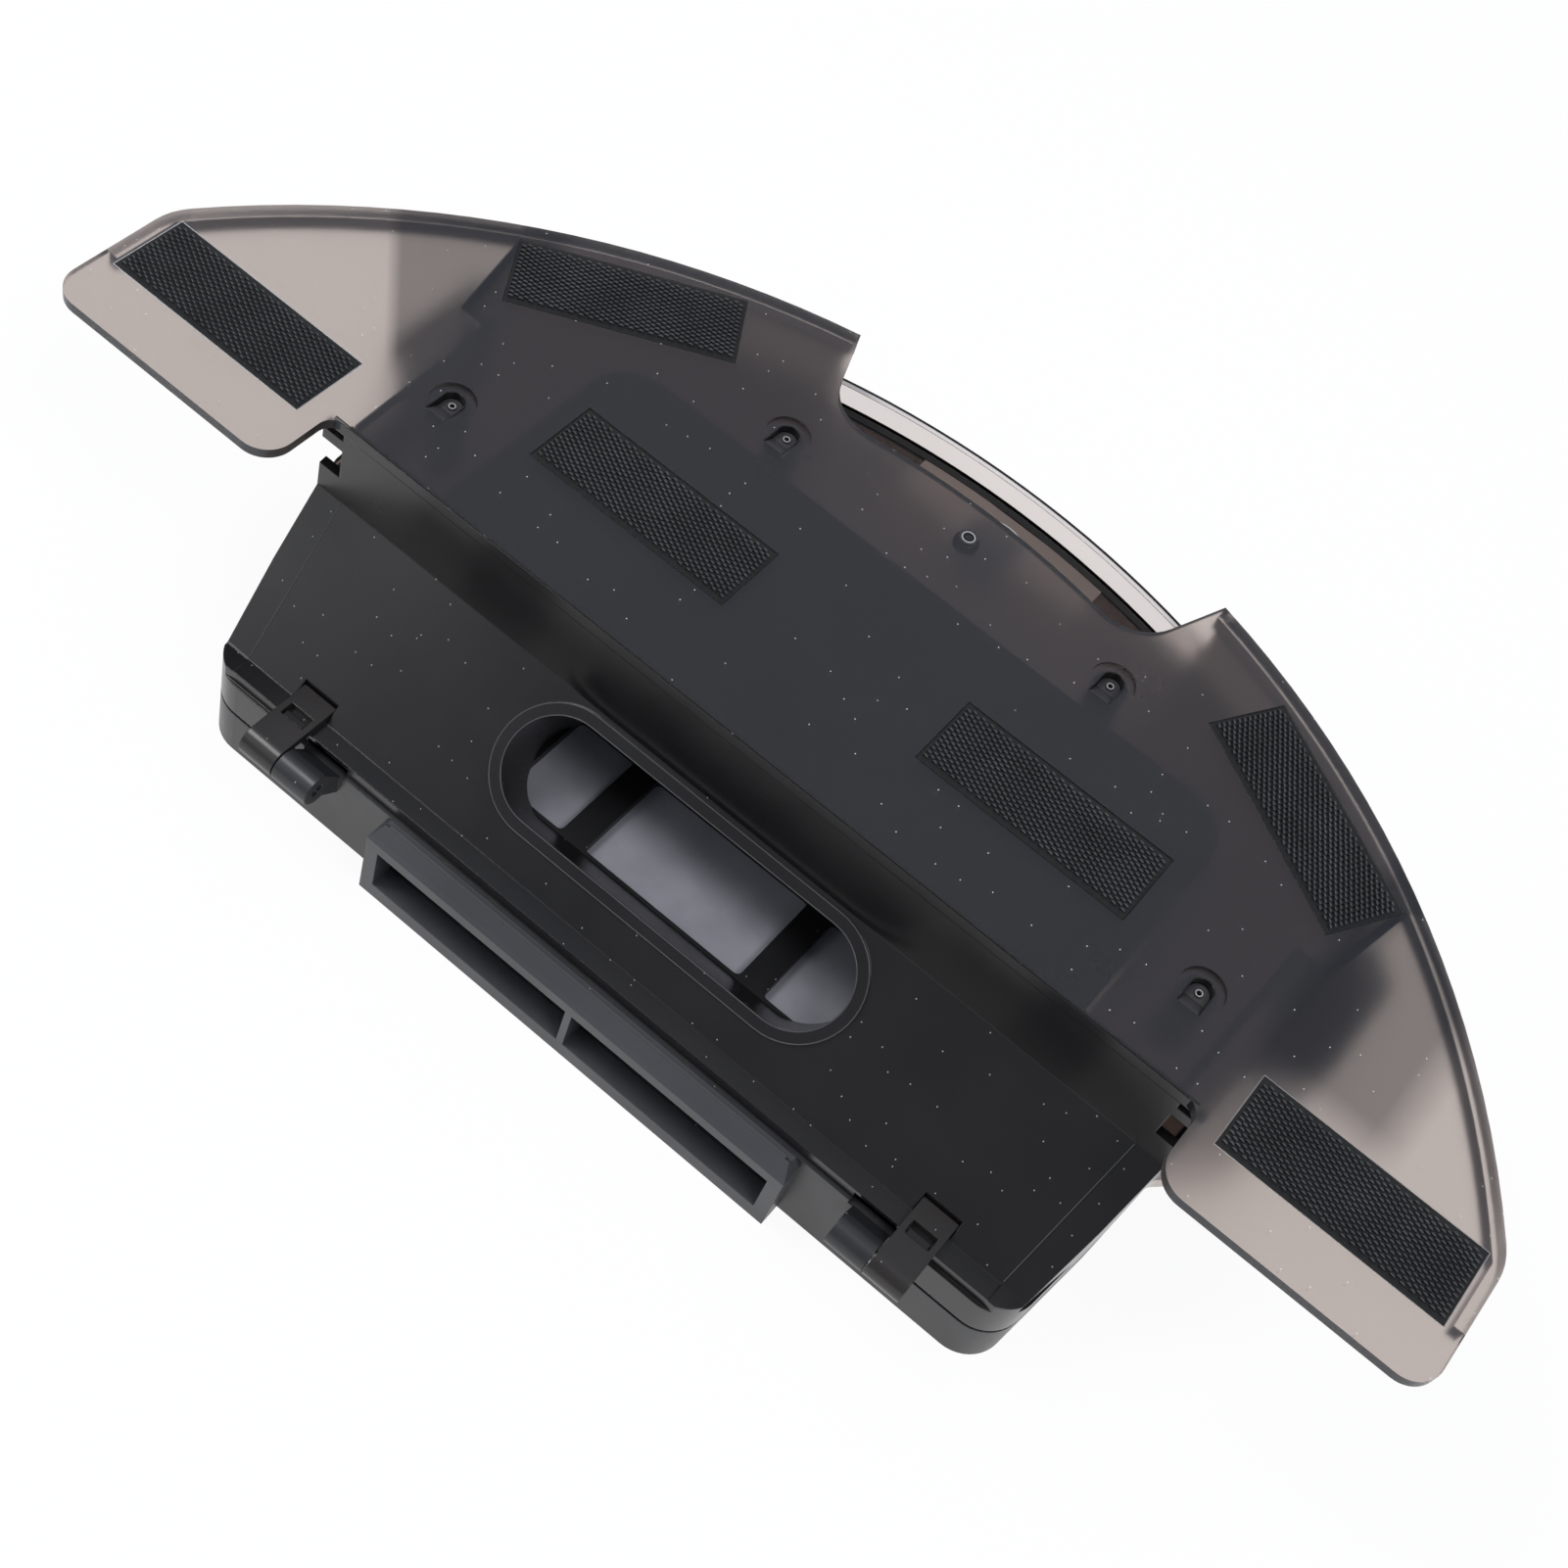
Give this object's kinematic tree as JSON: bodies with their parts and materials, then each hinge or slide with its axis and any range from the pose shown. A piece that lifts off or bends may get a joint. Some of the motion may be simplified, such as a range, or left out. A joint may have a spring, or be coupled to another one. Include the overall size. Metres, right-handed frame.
{
  "type": "robot vacuum water tank",
  "caption": "Water tank and dust box of a round robot vacuum, with a mop plate, hook patches, drip nozzles, a slanted dust inlet and a hinged lid with an air outlet.",
  "frame": {"origin": "middle of the bounding box, on the plane of the lid's and tank's outer face that the part rests on", "axes": "+Z towards the cloth face, +Y towards the rounded rear edge, +X to the right seen from the cloth side with the rear edge away"},
  "size_m": [0.2772, 0.1272, 0.0623],
  "materials": {
    "smoke_plate": "frosted smoky see-through moulding",
    "smoke_clear": "clear, slightly smoky moulding",
    "tank_brown": "brown see-through moulding",
    "cover_dark": "dark moulding",
    "box_dark": "glossy dark moulding",
    "lid_dark": "glossy dark moulding",
    "frame_grey": "satin moulding",
    "hook_tape": "hook tape with short stiff hooks",
    "nozzle_rubber": "soft moulding",
    "flap_silicone": "soft silicone sheet",
    "seal_rubber": "soft seal",
    "plug_rubber": "soft plug",
    "clip_smoke": "glossy smoky moulding",
    "pin_steel": "drawn steel",
    "filter_paper": "pleated filter paper",
    "filter_plastic": "moulded frame",
    "screen_mesh": "open screen"
  },
  "bodies": {
    "tank": {"drip_nozzle_inner_left": "nozzle_rubber", "drip_nozzle_inner_right": "nozzle_rubber", "drip_nozzle_outer_left": "nozzle_rubber", "drip_nozzle_outer_right": "nozzle_rubber", "dust_box": "box_dark", "hinge_clip_left": "clip_smoke", "hinge_clip_right": "clip_smoke", "hook_patch_front_left": "hook_tape", "hook_patch_front_right": "hook_tape", "hook_patch_middle_left": "hook_tape", "hook_patch_middle_right": "hook_tape", "hook_patch_rear_left": "hook_tape", "hook_patch_rear_right": "hook_tape", "inlet_grid": "frame_grey", "mop_plate": "smoke_plate", "support_frame": "smoke_clear", "tank_body": "tank_brown", "tank_cover": "cover_dark", "tank_gasket": "seal_rubber", "vent_valve": "nozzle_rubber"},
    "lid": {"bin_lid": "lid_dark", "lid_seal": "seal_rubber", "outlet_frame": "frame_grey", "filter_frame": "filter_plastic", "air_filter": "filter_paper", "filter_screen": "screen_mesh", "hinge_pin_left": "pin_steel", "hinge_pin_right": "pin_steel"},
    "flap": {"inlet_flap": "flap_silicone"},
    "plug": {"filler_plug": "plug_rubber"}
  },
  "joints": [
    {"name": "lid_hinge", "type": "hinge", "parent": "tank", "child": "lid", "pos_m": [0, -0.0605, 0.0199], "axis": [-1, 0, 0], "range_deg": [0, 105]},
    {"name": "flap_hinge", "type": "hinge", "parent": "tank", "child": "flap", "pos_m": [0, -0.0132, 0.01715], "axis": [1, 0, 0], "range_deg": [0, 30], "stiffness_Nm_per_rad": 0.02},
    {"name": "plug_pull", "type": "slide", "parent": "tank", "child": "plug", "axis": [0, 0, 1], "range_m": [0, 0.012]}
  ]
}
